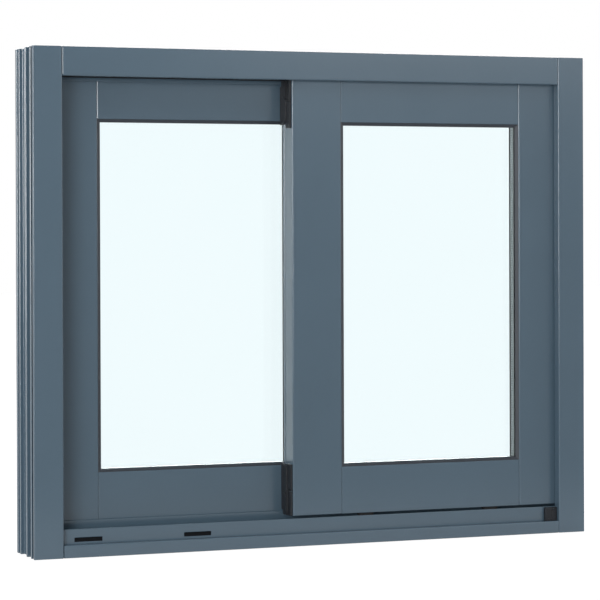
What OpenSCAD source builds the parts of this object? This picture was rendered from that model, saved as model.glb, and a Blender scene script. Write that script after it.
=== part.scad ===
// Horizontal sliding window: two glazed sashes in a thermally broken
// aluminium frame. The closed window is drawn, seen from outdoors along +Y.
// The frame's outdoor face is at -Y, its sill rests on z = 0, and the origin
// is the bottom centre of the frame.

/* [Frame] */
// Overall width of the frame
frame_w = 762; // [560:2:1500]
// Overall height of the frame
frame_h = 635; // [420:1:1500]
// Width of each jamb's outdoor face
jamb_face = 38; // [34:0.5:46]
// Height of the head's outdoor face
head_face = 36.5; // [34:0.5:44]
// Height of the sill's outdoor lip
sill_lip_h = 16; // [14:0.5:18]
// Height of the sill's riser, behind the ledge
riser_h = 34.6; // [33:0.2:40]
// Height of the sill's middle wall, between the tracks
mid_wall_h = 41.5; // [40:0.5:46]
// Reach of the middle legs of head and jambs, between the sashes
mid_leg = 41; // [40:0.5:46]
// Reach of the indoor legs of head and jambs
indoor_leg = 38; // [34:0.5:46]
// Height of the sill's indoor leg
sill_dam_h = 50; // [46:0.5:56]
// Wall thickness of the frame's extrusions
wall = 1.8; // [1.4:0.1:2.4]
// Open joint between each jamb and the faces of sill and head
joint_gap = 0.5; // [0:0.1:1]

/* [Depth of the frame] */
// Depth of the hollow outdoor chamber, in front of the first track
nose_d = 13; // [12:0.5:16]
// Thickness of a sash
sash_t = 27.5; // [25:0.5:32]
// Gap at each side of a sash, closed by a pile strip
pile_gap = 1.65; // [1.2:0.05:2.5]
// Thickness of the middle leg
mid_leg_t = 3; // [2:0.2:4]
// Depth of the indoor leg
dam_d = 5; // [4:0.5:8]

/* [Pockets and grooves] */
// Depth of the pocket of the outdoor track, from the frame's outer face
pocket_a = 17; // [15:0.5:20]
// Depth of the pocket of the indoor track, from the frame's outer face
pocket_b = 24.8; // [22:0.2:26]
// Recess of the outer webs and accessory grooves
groove_e = 5; // [4:0.5:7]
// Width of the ribs that touch the wall opening
rib_w = 4; // [3:0.5:5]
// Depth at which the anchor channel starts
anchor_y = 16; // [15:0.5:18]
// Width of the anchor channel
anchor_w = 17; // [12:0.5:18]
// Length of the thermal break, between the two metal halves
break_w = 13; // [11:0.5:14]
// Thickness of a thermal break strip
break_t = 2; // [1.6:0.1:2.6]

/* [Sashes] */
// Width of a stile
stile_w = 68.2; // [60:0.2:76]
// Height of a rail
rail_h = 61; // [54:0.5:70]
// Distance of the outdoor meeting stile's edge from the frame's middle
meeting_out = 32.6; // [26:0.2:40]
// How far the outdoor meeting stile passes the indoor daylight opening
stile_shift = 10.8; // [4:0.1:14]
// Gap between a sash and the bottom of its jamb pocket
side_gap = 4.6; // [3:0.1:6]
// Gap under the outdoor sash, above the riser
sill_gap = 2.9; // [2:0.1:5]
// Rise of the indoor track over the outdoor one
track_step = 1.9; // [0:0.1:4]
// Gap over the outdoor sash, inside the head pocket
lift_gap = 11.5; // [9:0.5:14]
// Wall thickness of stiles and rails
sash_wall = 1.8; // [1.4:0.1:2.4]
// How far the rails' faces stand back from the stiles' faces
face_step = 0.6; // [0:0.1:0.8]
// Radius of the stiles' edges
edge_r = 1.8; // [0.6:0.1:2]

/* [Glazing] */
// Thickness of each pane
pane_t = 4; // [3:0.5:6]
// Depth of the glazing pocket
pocket_glass = 11; // [10:0.5:14]
// Overlap of the glass with stiles and rails
glass_bite = 8; // [6:0.5:9]
// How far the outdoor gasket stands past the metal
gasket_lip = 4.3; // [2.5:0.1:5]
// How far the indoor gasket stands past the metal
gasket_in = 3.2; // [2:0.1:5]
// Thickness of the gasket at each side of the glass
gasket_t = 1.95; // [1.5:0.05:3]
// Height of the spacer bar between the panes
spacer_h = 7.6; // [6:0.2:9]
// Thickness of the sealant between the spacer and each pane
seal_t = 1.4; // [0.6:0.1:2]
// How far the spacer stands back from the gasket's edge
spacer_back = 0.6; // [0:0.1:2]

/* [Running gear] */
// Height of the track rails over the pocket floor
rail_rise = 13.5; // [11:0.5:15]
// Thickness of the track rails
rail_t = 2; // [1.6:0.1:3]
// Radius of the roller's groove, which runs on the rail
wheel_r = 11; // [9:0.5:12]
// Width of a roller
wheel_w = 8; // [6:0.5:10]
// Distance from a rail's end to the middle of its roller
wheel_inset = 38; // [30:1:60]

/* [Drainage] */
// Length of a weep slot
weep_l = 36.3; // [20:0.5:50]
// Height of a weep slot
weep_h = 5.2; // [3:0.2:7]
// Distance of the first weep slot from the frame's left edge
weep_x = 55; // [45:1:80]
// Distance between the starts of the weep slots
weep_pitch = 144; // [60:1:160]

/* [Fittings] */
// Height of the end block at the foot of the meeting stile
foot_block_h = 66; // [50:1:80]
// Height of the end block at the head of the meeting stile
head_block_h = 69; // [50:1:80]
// How far the end blocks stand out of the stile's edge
block_out = 2.6; // [2:0.1:4]
// Length of the sill's end block
end_block_l = 17.6; // [12:0.2:24]
// How far the sill's end block stands back from the sill's outdoor face
end_block_in = 6; // [2:0.5:8]
// Length of the opening of the flush pulls
pull_l = 96; // [70:1:120]
// Width of the opening of the flush pulls
pull_w = 16; // [12:0.5:20]
// Depth of the flush pulls
pull_d = 11; // [8:0.5:14]
// Distance of a pull's middle from the sash's outer edge
pull_u = 36; // [32:0.5:40]

/* [Hidden] */
$fn = 36;
eps = 0.02;
front_y = nose_d + pile_gap;
front_back = front_y + sash_t;
mid_y = front_back + pile_gap;
mid_end = mid_y + mid_leg_t;
rear_y = mid_end + pile_gap;
rear_back = rear_y + sash_t;
dam_y = rear_back + pile_gap;
frame_d = dam_y + dam_d;
break_y = mid_end;
inner_y = break_y + break_w;

front_x = frame_w / 2 - meeting_out;
front_w = frame_w - pocket_a - side_gap - front_x;
rear_x = pocket_b + side_gap;
rear_w = front_x + stile_shift + stile_w - rear_x;
front_z = riser_h + sill_gap;
rear_z = front_z + track_step;
sash_h = frame_h - pocket_a - lift_gap - front_z;
day_h = sash_h - 2 * rail_h;
igu_t = sash_t - 2 * sash_wall - 2 * gasket_t;
hollow = igu_t - 2 * pane_t;
gap_y = sash_wall + gasket_t + pane_t;

floor_z = 17.5;
rail_top = floor_z + rail_rise;
weep_z = floor_z + 1.1;
weep_r = 0.7;
roller_roof = 20;
bulb_r = rail_t * 0.8;
flange = 1.6;
port_r = 2.1;
port_wall = 1.6;
port_gap = 0.6;
port_y = (anchor_y + anchor_w + wall + mid_y) / 2;
port_inner_y = inner_y + wall + port_r + port_wall + 2.5;
claw_t = 1.8;
claw_d = 3;
foot_w = 7;
pile_w = 5;
pile_back = 0.5;
pile_in = 6.5;
pile_up = 6;
corner_r = 1.6;
interlock_t = 1.5;
end_clear = 2;
pull_wall = 1.2;
pull_rim = 3;
pull_play = 0.3;
lip_rise = 0.9;
lip_root = 0.4;
lip_land = 0.2;
spacer_wall = 0.8;
seal_back = 0.5;
spacer_u = spacer_back - gasket_lip;
rib_out = 1.2;
rib_drop = 4.5;
rib_round = 6;
pad_out = 2;
boss_d = 6;
notch_h = 2.8;
end_block_low = 0.8;
house_end = 6;
house_t = 1.5;
thumb_l = 30;
thumb_in = 12;
hook_reach = 5;
hook_x = 32;

metal = [0.36, 0.42, 0.465];
metal_dark = [0.27, 0.31, 0.35];
rubber = [0.16, 0.14, 0.15];
black = [0.07, 0.07, 0.075];
glass = [0.86, 0.95, 0.97, 0.4];
bar = [0.62, 0.64, 0.64];
nylon = [0.75, 0.75, 0.72];

// A wall of an extrusion, between two corners
module plate(x0, y0, x1, y1) {
    translate([x0, y0]) square([x1 - x0, y1 - y0]);
}

// Extrudes what is drawn in x and z along the depth, from y0 to y1
module slab(y0, y1) {
    translate([0, y1, 0]) rotate([90, 0, 0]) linear_extrude(y1 - y0) children();
}

// Rectangle with round corners, about the origin
module rounded(w, h, r) {
    for (x = [-1, 1], y = [-1, 1])
        translate([x * (w / 2 - r), y * (h / 2 - r)]) circle(r);
    translate([-w / 2, r - h / 2]) square([w, h - 2 * r]);
    translate([r - w / 2, -h / 2]) square([w - 2 * r, h]);
}

// What is cut off to round an outside corner; sx and sy point into the metal
module round_off(x, y, sx, sy, r = corner_r) {
    translate([x, y]) mirror([sx < 0 ? 1 : 0, 0]) mirror([0, sy < 0 ? 1 : 0])
        difference() {
            translate([-eps, -eps]) square(r + eps);
            translate([r, r]) circle(r);
        }
}

// C-shaped port that takes a corner screw
module screw_port(x, y, turn = 0) {
    translate([x, y]) rotate(turn) difference() {
        circle(port_r + port_wall);
        circle(port_r);
        translate([0, -port_r * 0.6]) square([2 * port_r + port_wall, port_r * 1.2]);
    }
}

// Claw that grips the head of a thermal break strip; dir points to the strip
module break_claw(u, y, dir) {
    translate([u, y]) mirror([0, dir < 0 ? 1 : 0])
        difference() {
            translate([-break_t / 2 - claw_t, -wall / 2])
                square([break_t + 2 * claw_t, claw_d + wall / 2]);
            polygon(strip_outline(2 * claw_d));
        }
}

// Outline of a strip from metal to metal, with a dovetail head at each end
function strip_outline(length) =
    let (neck = break_t / 2, head = neck + claw_t * 0.45, root = 0.4, taper = claw_d * 0.8)
        [[-head, root], [head, root], [neck, taper], [neck, length - taper],
         [head, length - root], [-head, length - root], [-neck, length - taper], [-neck, taper]];

// A thermal break strip
module break_strip(u) {
    translate([u, break_y]) polygon(strip_outline(break_w));
}

// Strip positions, measured in from the frame's outer face
strip_out = groove_e + break_t / 2 + claw_t;
strip_in = pocket_b - break_t / 2 - claw_t;

// Outer ribs, grooves and webs of the outdoor half, shared by all members
module outdoor_back(face) {
    anchor_end = anchor_y + anchor_w;
    // face wall and the flange behind it
    plate(0, 0, face, wall);
    plate(0, 0, flange, rib_w);
    // groove floor and the chamber's outer wall
    plate(groove_e, 0, groove_e + wall, anchor_y);
    // first rib, with the lip of the anchor channel
    plate(0, anchor_y - wall, pocket_a, anchor_y);
    plate(0, anchor_y - rib_w, flange, anchor_y);
    // anchor channel floor, which is the floor of the outdoor pocket
    plate(pocket_a - wall, nose_d - wall, pocket_a, mid_end);
    // second rib
    plate(0, anchor_end, pocket_a, anchor_end + wall);
    plate(0, anchor_end, flange, anchor_end + rib_w);
    // recessed web beside the thermal break
    plate(groove_e, anchor_end, groove_e + wall, mid_end);
    plate(groove_e, mid_end - wall, pocket_b, mid_end);
    break_claw(strip_out, break_y, 1);
    break_claw(strip_in, break_y, 1);
}

// Outdoor half of a jamb or head; leg is the reach of the middle leg
module outdoor_profile(face, leg) {
    difference() {
        union() {
            outdoor_back(face);
            // chamber behind the face
            plate(pocket_a - wall, nose_d - wall, face, nose_d);
            plate(face - wall, 0, face, nose_d);
            // middle leg, with a foot for the pile strips
            plate(groove_e, mid_y, leg, mid_y + wall);
            plate(leg - foot_w, mid_y, leg, mid_end);
        }
        round_off(0, 0, 1, 1);
        round_off(face, 0, -1, 1);
        round_off(leg, mid_y, -1, 1, 0.6);
        round_off(leg, mid_end, -1, -1, 0.6);
    }
}

// Indoor half of a jamb or head
module indoor_profile(leg) {
    difference() {
        union() {
            indoor_back();
            plate(0, frame_d - wall, leg, frame_d);
            plate(leg - wall, dam_y, leg, frame_d);
            plate(leg - foot_w, dam_y, leg, dam_y + wall);
        }
        round_off(leg, frame_d, -1, -1);
        round_off(0, frame_d, 1, -1);
    }
}

// Outer ribs, web and pocket floor of the indoor half
module indoor_back() {
    rear_rib = frame_d - 2 * rib_w;
    rib_y = inner_y + rib_w - flange / 2;
    // chamber wall beside the thermal break, and the first rib
    plate(groove_e, inner_y, pocket_b, inner_y + wall);
    plate(0, rib_y, groove_e + wall, rib_y + wall);
    plate(0, rib_y, flange, rib_y + rib_w);
    // groove floor
    plate(groove_e, inner_y, groove_e + wall, frame_d);
    // rear rib
    plate(0, rear_rib, groove_e + wall, rear_rib + wall);
    plate(0, rear_rib, flange, frame_d);
    // pocket floor
    plate(pocket_b - wall, inner_y, pocket_b, frame_d);
    break_claw(strip_out, inner_y, -1);
    break_claw(strip_in, inner_y, -1);
}

// Both strips of the thermal break
module break_profile() {
    break_strip(strip_out);
    break_strip(strip_in);
}

// Rail of a track, from the pocket floor to its rounded top
module track_rail(y, base, top) {
    plate(base - eps, y - rail_t / 2, top - bulb_r, y + rail_t / 2);
    translate([top - bulb_r, y]) circle(bulb_r);
}

// Outdoor half of the sill; u runs up from the sill's underside
module sill_outdoor_profile() {
    difference() {
        union() {
            sill_outdoor_base();
            // ledge and riser
            plate(sill_lip_h - wall, 0, sill_lip_h, nose_d);
            plate(sill_lip_h - wall, nose_d - wall, riser_h, nose_d);
            // pocket floor and middle wall
            plate(floor_z - wall, nose_d - wall, floor_z, mid_end);
            plate(groove_e, mid_y, mid_wall_h, mid_y + wall);
            plate(mid_wall_h - foot_w, mid_y, mid_wall_h, mid_end);
            track_rail(front_y + sash_t / 2, floor_z, rail_top);
            screw_port(floor_z - wall - port_r - port_gap, port_y, 180);
        }
        round_off(0, 0, 1, 1);
        round_off(sill_lip_h, 0, -1, 1);
        round_off(riser_h, nose_d - wall, -1, 1, 0.6);
        round_off(riser_h, nose_d, -1, -1, 0.6);
        round_off(mid_wall_h, mid_y, -1, 1, 0.6);
        round_off(mid_wall_h, mid_end, -1, -1, 0.6);
    }
}

// Underside ribs of the sill's outdoor half
module sill_outdoor_base() {
    anchor_end = anchor_y + anchor_w;
    plate(0, 0, sill_lip_h, wall);
    plate(0, 0, flange, rib_w);
    plate(groove_e, 0, groove_e + wall, anchor_y);
    plate(0, anchor_y - wall, floor_z, anchor_y);
    plate(0, anchor_y - rib_w, flange, anchor_y);
    plate(0, anchor_end, floor_z, anchor_end + wall);
    plate(0, anchor_end, flange, anchor_end + rib_w);
    plate(groove_e, anchor_end, groove_e + wall, mid_end);
    plate(groove_e, mid_end - wall, pocket_b, mid_end);
    break_claw(strip_out, break_y, 1);
    break_claw(strip_in, break_y, 1);
}

// Indoor half of the sill
module sill_indoor_profile() {
    indoor_profile(sill_dam_h);
    track_rail(rear_y + sash_t / 2, pocket_b, rail_top + track_step);
    screw_port(pocket_b - wall - port_r - port_gap, port_inner_y, 180);
}

// Stands a profile up as the left jamb: u runs in, the depth runs back
module as_jamb() {
    linear_extrude(frame_h) children();
}

// Turns the left jamb into the right one
module right_side() {
    translate([frame_w, 0, 0]) mirror([1, 0, 0]) children();
}

// Lays a profile across the frame, with u running up from z = 0
module across(x0, x1) {
    translate([x0, 0, 0]) rotate([0, 90, 0]) mirror([1, 0, 0])
        linear_extrude(x1 - x0) children();
}

// Turns a member that is drawn on the sill into one on the head
module as_head() {
    translate([0, 0, frame_h]) mirror([0, 0, 1]) children();
}

// Cuts that let a head or sill pass the legs of the jambs
module cope(y0, y1, reach) {
    for (x = [-1, frame_w - reach])
        translate([x, y0, -1]) cube([reach + 1, y1 - y0, sill_dam_h + 4]);
}

module copes(gap = 0) {
    cope(-1, nose_d + eps, jamb_face + gap);
    cope(nose_d, mid_y, pocket_a);
    cope(mid_y - eps, mid_end + eps, mid_leg);
    cope(mid_end, dam_y, pocket_b);
    cope(dam_y - eps, frame_d + 1, indoor_leg);
}

module left_jamb_outdoor() {
    color(metal) as_jamb() outdoor_profile(jamb_face, mid_leg);
}

module left_jamb_indoor() {
    color(metal) as_jamb() indoor_profile(indoor_leg);
}

module left_jamb_break() {
    color(metal_dark) as_jamb() break_profile();
}

module right_jamb_outdoor() {
    right_side() left_jamb_outdoor();
}

module right_jamb_indoor() {
    right_side() left_jamb_indoor();
}

module right_jamb_break() {
    right_side() left_jamb_break();
}

module head_outdoor() {
    color(metal) as_head() difference() {
        across(0, frame_w) {
            outdoor_profile(head_face, mid_leg);
            screw_port(pocket_a - wall - port_r - port_gap, port_y, 180);
        }
        copes(joint_gap);
    }
}

module head_indoor() {
    color(metal) as_head() difference() {
        across(0, frame_w) {
            indoor_profile(indoor_leg);
            screw_port(pocket_b - wall - port_r - port_gap, port_inner_y, 180);
        }
        copes();
    }
}

module head_break() {
    color(metal_dark) as_head() difference() {
        across(0, frame_w) break_profile();
        copes();
    }
}

// Slot through the riser, its corners only just rounded
module weep_slot(x) {
    slab(nose_d - wall - 1, nose_d + 1) translate([x + weep_l / 2, weep_z + weep_h / 2])
        rounded(weep_l, weep_h, weep_r);
}

module sill_outdoor() {
    color(metal) difference() {
        across(0, frame_w) sill_outdoor_profile();
        copes(joint_gap);
        for (i = [0:1]) weep_slot(weep_x + i * weep_pitch);
    }
}

module sill_indoor() {
    color(metal) difference() {
        across(0, frame_w) sill_indoor_profile();
        copes();
    }
}

module sill_break() {
    color(metal_dark) difference() {
        across(0, frame_w) break_profile();
        copes();
    }
}

// Sash stile: u runs from its outer edge to the glass, v back from its face
module stile_profile() {
    floor_u = stile_w - pocket_glass;
    difference() {
        union() {
            plate(0, 0, stile_w, sash_wall);
            plate(0, sash_t - sash_wall, stile_w, sash_t);
            plate(0, 0, sash_wall, sash_t);
            plate(floor_u - sash_wall, 0, floor_u, sash_t);
        }
        for (u = [0, stile_w]) {
            round_off(u, 0, u == 0 ? 1 : -1, 1, min(edge_r, sash_wall));
            round_off(u, sash_t, u == 0 ? 1 : -1, -1, min(edge_r, sash_wall));
        }
    }
}

// Interlock of the outdoor meeting stile: cover leg and hook
module front_interlock() {
    cover = rear_y - front_y - 0.4;
    plate(0, sash_t - 1, sash_wall, cover);
    plate(hook_x, sash_t - 1, hook_x + interlock_t, cover - 1);
    plate(hook_x, cover - 1 - interlock_t, hook_x + hook_reach, cover - 1);
}

// Interlock of the indoor meeting stile; u runs from its outer edge
module rear_interlock() {
    gap = rear_y - front_back;
    leg_u = stile_w + stile_shift - hook_x - hook_reach - 3;
    plate(leg_u - interlock_t, 1 - gap, leg_u, 1);
    plate(leg_u - interlock_t, 1 - gap, leg_u + hook_reach - 1, 1 - gap + interlock_t);
}

// Rail: u runs from its outer edge to the glass, v back from its face
module rail_profile(roof) {
    floor_u = rail_h - pocket_glass;
    v0 = face_step;
    v1 = sash_t - face_step;
    difference() {
        union() {
            plate(0, v0, rail_h, sash_wall);
            plate(0, sash_t - sash_wall, rail_h, v1);
            plate(roof, v0, roof + sash_wall, v1);
            plate(floor_u - sash_wall, v0, floor_u, v1);
            screw_port(roof + sash_wall + port_r + port_gap, sash_t / 2, 0);
            screw_port(floor_u - sash_wall - port_r - port_gap, sash_t / 2, 180);
        }
        for (u = [0, rail_h]) {
            round_off(u, v0, u == 0 ? 1 : -1, 1, 0.6);
            round_off(u, v1, u == 0 ? 1 : -1, -1, 0.6);
        }
    }
}

// Places what is drawn for a sash, from z = 0 and x = 0 to its own width
module on_front() {
    $sash_w = front_w;
    translate([front_x, front_y, front_z]) children();
}

module on_rear() {
    $sash_w = rear_w;
    translate([rear_x, rear_y, rear_z]) children();
}

// Width of the daylight opening of the sash that is being drawn
function day_w() = $sash_w - 2 * stile_w;

// Mirrors a piece to the other side of a sash
module other_side() {
    translate([$sash_w, 0, 0]) mirror([1, 0, 0]) children();
}

module stile() {
    linear_extrude(sash_h) children();
}

// A rail between the stiles, its core run on into the glazing pockets
module rail(roof) {
    difference() {
        translate([stile_w - pocket_glass, 0, 0]) rotate([0, 90, 0]) mirror([1, 0, 0])
            linear_extrude(day_w() + 2 * pocket_glass) rail_profile(roof);
        for (x = [stile_w - pocket_glass - 1, $sash_w - stile_w])
            for (y = [-1, sash_t - sash_wall - eps])
                translate([x, y, -1]) cube([pocket_glass + 1, sash_wall + 1 + eps, rail_h + 2]);
    }
}

module bottom_rail() {
    rail(roller_roof);
}

module top_rail() {
    translate([0, 0, sash_h]) mirror([0, 0, 1]) rail(0);
}

// Rectangle round a sash's daylight opening, grown by u at each side
module opening(u) {
    square([day_w() + 2 * u, day_h + 2 * u], center = true);
}

// Ring from depth y0 to y1, between the opening grown by inner and by outer
module ring(y0, y1, inner, outer) {
    translate([0, 0, -y1]) linear_extrude(y1 - y0) difference() {
        opening(outer);
        opening(inner);
    }
}

// Turns what is drawn about the opening's middle, with its depth along -Z
module at_opening() {
    translate([$sash_w / 2, 0, sash_h / 2]) rotate([90, 0, 0]) children();
}

// Tapered hole that leaves the slope of a gasket's lip, which starts at y
module lip_taper(y, lip) {
    tip = lip_land - lip;
    root = -lip_root + (lip - lip_root - lip_land) / gasket_t;
    translate([0, 0, -y - gasket_t])
        linear_extrude(gasket_t + 1, slices = 1,
                       scale = [(day_w() + 2 * root) / (day_w() + 2 * tip),
                                (day_h + 2 * root) / (day_h + 2 * tip)])
            opening(tip);
}

// One side of the channel gasket: the leg in the pocket and its sloped lip
module gasket_leg(lip) {
    ring(sash_wall, sash_wall + gasket_t, -lip_root / 2, pocket_glass - 1);
    difference() {
        ring(sash_wall - lip_rise, sash_wall + gasket_t, -lip, 0);
        lip_taper(sash_wall - lip_rise, lip);
    }
}

// Channel gasket: two legs, and the base that joins them round the glass
module sash_gasket() {
    at_opening() {
        ring(sash_wall, sash_t - sash_wall, glass_bite, pocket_glass - 1);
        gasket_leg(gasket_lip);
        translate([0, 0, -sash_t]) mirror([0, 0, 1]) gasket_leg(gasket_in);
    }
}

// Spacer bar of the glass unit: a hollow section between the panes
module sash_spacer() {
    t = spacer_wall;
    y0 = gap_y + seal_t;
    y1 = gap_y + hollow - seal_t;
    at_opening() difference() {
        ring(y0, y1, spacer_u, spacer_u + spacer_h);
        ring(y0 + t, y1 - t, spacer_u + t, spacer_u + spacer_h - t);
    }
}

// Sealant that holds the spacer to both panes and fills the edge of the unit
module sash_sealant() {
    at_opening() difference() {
        ring(gap_y, gap_y + hollow, spacer_u, glass_bite - seal_back);
        ring(gap_y + seal_t, gap_y + hollow - seal_t, spacer_u - 1, spacer_u + spacer_h);
    }
}

module pane(y) {
    translate([stile_w - glass_bite, y, rail_h - glass_bite])
        cube([day_w() + 2 * glass_bite, pane_t, day_h + 2 * glass_bite]);
}

module outer_pane() {
    color(glass) pane(sash_wall + gasket_t);
}

module inner_pane() {
    color(glass) pane(sash_t - sash_wall - gasket_t - pane_t);
}

// A grooved wheel on its pin, in a folded housing under the rail's roof
module roller() {
    axle_z = rail_top - front_z + wheel_r;
    rim = 1.5;
    house_w = sash_t - 2 * sash_wall - 1;
    translate([0, sash_t / 2, axle_z]) rotate([90, 0, 0]) {
        translate([0, 0, -wheel_w / 2]) rotate_extrude()
            polygon([[0, 0], [wheel_r + rim, 0], [wheel_r + rim, 1.4], [wheel_r, 2.8],
                     [wheel_r, wheel_w - 2.8], [wheel_r + rim, wheel_w - 1.4],
                     [wheel_r + rim, wheel_w], [0, wheel_w]]);
        translate([0, 0, -house_w / 2]) cylinder(r = 2.2, h = house_w);
    }
    house_l = 2 * (wheel_r + house_end);
    for (s = [-1, 1])
        translate([-house_l / 2, sash_t / 2 + s * (house_w - house_t) / 2 - house_t / 2, axle_z - 3])
            cube([house_l, house_t, roller_roof - axle_z + 3]);
    translate([-house_l / 2, sash_t / 2 - house_w / 2, roller_roof - house_t])
        cube([house_l, house_w, house_t]);
}

module rollers() {
    color(nylon) for (x = [stile_w + wheel_inset, $sash_w - stile_w - wheel_inset])
        translate([x, 0, 0]) roller();
}

// Places what is drawn for a pull, at the middle of a jamb stile
module at_pull() {
    translate([pull_u, 0, sash_h / 2]) children();
}

// Jamb stile with the opening that its flush pull sits in
module jamb_stile() {
    grow = 2 * (pull_wall + pull_play);
    difference() {
        stile() stile_profile();
        at_pull() slab(sash_t - sash_wall - 1, sash_t + 1)
            rounded(pull_w + grow, pull_l + grow, 3 + pull_wall + pull_play);
    }
}

// Flush pull: a dished tray with a thin rim on the stile's indoor face
module pull_tray() {
    color(black) at_pull() difference() {
        union() {
            slab(sash_t, sash_t + pull_wall)
                rounded(pull_w + 2 * (pull_wall + pull_rim), pull_l + 2 * (pull_wall + pull_rim), 6);
            slab(sash_t - pull_d, sash_t + eps)
                rounded(pull_w + 2 * pull_wall, pull_l + 2 * pull_wall, 3 + pull_wall);
        }
        slab(sash_t - pull_d + pull_wall, sash_t + pull_wall + 1) rounded(pull_w, pull_l, 3);
    }
}

// Thumb piece that slides in the tray
module pull_thumb() {
    h = thumb_l;
    floor_y = sash_t - pull_d + pull_wall;
    color(black) at_pull() translate([0, floor_y, pull_l / 2 - h - thumb_in]) difference() {
        translate([-pull_w / 2 + pull_play, 0, 0])
            cube([pull_w - 2 * pull_play, pull_d - pull_wall, h]);
        for (i = [0:4])
            translate([-pull_w / 2 - 1, pull_d - pull_wall - 0.9, 5 + i * 5])
                cube([pull_w + 2, 2, 1.4]);
        translate([0, pull_d + 2, h / 2 - 1]) rotate([0, 90, 0])
            cylinder(r = 4, h = pull_w + 4, center = true);
    }
}

// An interlock, cut short at both ends to pass the middle legs
module trimmed(sash_z) {
    z0 = mid_wall_h + end_clear - sash_z;
    z1 = frame_h - mid_leg - end_clear - sash_z;
    translate([0, 0, z0]) linear_extrude(z1 - z0) children();
}

module front_meeting_stile() {
    color(metal) on_front() {
        stile() stile_profile();
        trimmed(front_z) front_interlock();
    }
}

module front_jamb_stile() {
    color(metal) on_front() other_side() jamb_stile();
}

module front_top_rail() {
    color(metal) on_front() top_rail();
}

module front_bottom_rail() {
    color(metal) on_front() bottom_rail();
}

module front_outer_pane() {
    on_front() outer_pane();
}

module front_inner_pane() {
    on_front() inner_pane();
}

module front_spacer() {
    color(bar) on_front() sash_spacer();
}

module front_sealant() {
    color(black) on_front() sash_sealant();
}

module front_gasket() {
    color(rubber) on_front() sash_gasket();
}

module front_rollers() {
    on_front() rollers();
}

module rear_meeting_stile() {
    color(metal) on_rear() other_side() {
        stile() stile_profile();
        trimmed(rear_z) rear_interlock();
    }
}

module rear_jamb_stile() {
    color(metal) on_rear() jamb_stile();
}

module rear_top_rail() {
    color(metal) on_rear() top_rail();
}

module rear_bottom_rail() {
    color(metal) on_rear() bottom_rail();
}

module rear_outer_pane() {
    on_rear() outer_pane();
}

module rear_inner_pane() {
    on_rear() inner_pane();
}

module rear_spacer() {
    color(bar) on_rear() sash_spacer();
}

module rear_sealant() {
    color(black) on_rear() sash_sealant();
}

module rear_gasket() {
    color(rubber) on_rear() sash_gasket();
}

module rear_rollers() {
    on_rear() rollers();
}

// Outline of the rear rib of an end block, in depth and height: it passes the
// frame's middle leg at its foot, and its front edge curves back to its top
function rib_outline(mid, y1, top, start) =
    concat([[0, 0], [front_back - mid, 0], [front_back - mid, start], [y1 - mid, start],
            [y1 - mid, top]],
           [for (a = [30:15:90]) [(y1 - mid) * (1 - sin(a)), top - rib_round * (1 - cos(a))]]);

// Moulded end block on the edge of the outdoor meeting stile, drawn from its
// foot up: a front rib with a screw notch, and a rear rib that ends lower by
// drop, with a thicker pad round its screw
module end_block(h, start, drop = 0) {
    y0 = front_y + edge_r;
    y1 = rear_y - 0.5;
    mid = y0 + (y1 - y0) * 0.42;
    notch_z = h * 0.42;
    difference() {
        union() {
            translate([front_x - block_out, y0, 0]) cube([block_out, mid - y0 + 1, h]);
            translate([front_x - block_out - rib_out, mid, 0]) rotate([90, 0, 90])
                linear_extrude(block_out + rib_out) polygon(rib_outline(mid, y1, h - drop, start));
            translate([front_x - block_out - pad_out, mid - 2, 3])
                cube([block_out + pad_out, front_back - mid + 1, notch_z - 3]);
            translate([front_x - block_out - pad_out, mid + 1, notch_z]) rotate([0, 90, 0])
                cylinder(d = boss_d, h = block_out + pad_out);
        }
        translate([front_x - block_out - pad_out - 1, mid + 1, notch_z]) rotate([0, 90, 0])
            cylinder(d = boss_d / 2, h = block_out + pad_out);
        translate([front_x - block_out - 3, y0 - 1, notch_z + boss_d / 2 + 0.5])
            cube([block_out + 2, mid - y0 - 1, notch_h]);
    }
}

module stile_foot_block() {
    color(black) translate([0, 0, front_z]) end_block(foot_block_h, mid_wall_h + end_clear - front_z);
}

module stile_head_block() {
    top_z = front_z + sash_h;
    color(black) translate([0, 0, top_z]) mirror([0, 0, 1])
        end_block(head_block_h, top_z - frame_h + mid_leg + end_clear, rib_drop);
}

// Block that closes the sill's ledge at the right jamb, behind the lip's face,
// with a shallow recess and a slit for the screwdriver
module sill_end_block() {
    y1 = nose_d - wall;
    h = riser_h - sill_lip_h - end_block_low;
    color(black) translate([frame_w - jamb_face - end_block_l, end_block_in, sill_lip_h])
        difference() {
            cube([end_block_l - joint_gap, y1 - end_block_in, h]);
            translate([end_block_l * 0.68, -1, h - 4]) cube([1.2, y1, 5]);
            translate([end_block_l * 0.2, -1, 3]) cube([end_block_l * 0.36, 2, h - 6]);
        }
}

// Pile strip on a wall at depth y: its backing, and the pile towards dir
module pile(u, y, dir) {
    translate([u, y]) mirror([0, dir < 0 ? 1 : 0]) {
        plate(0, 0, pile_w, pile_back);
        plate(pile_back, 0, pile_w - pile_back, pile_gap);
    }
}

// The four strips of a jamb or head, near the ends of its legs; the strip in
// front of the middle leg sits deeper, out of sight
module pile_profile(face, leg, dam) {
    pile(face - pile_in - wall, nose_d, 1);
    pile(leg - pile_in - pile_up, mid_y, -1);
    pile(leg - pile_in, mid_end, 1);
    pile(dam - pile_in, dam_y, -1);
}

module left_jamb_pile() {
    color(black) translate([0, 0, front_z + 4]) linear_extrude(sash_h - 8)
        pile_profile(jamb_face, mid_leg, indoor_leg);
}

module right_jamb_pile() {
    right_side() left_jamb_pile();
}

module head_pile() {
    color(black) as_head() across(mid_leg + 1, frame_w - mid_leg - 1)
        pile_profile(head_face, mid_leg, indoor_leg);
}

module sill_pile() {
    color(black) across(mid_leg + 1, frame_w - mid_leg - 1)
        pile(sill_dam_h - pile_in, dam_y, -1);
}

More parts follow.
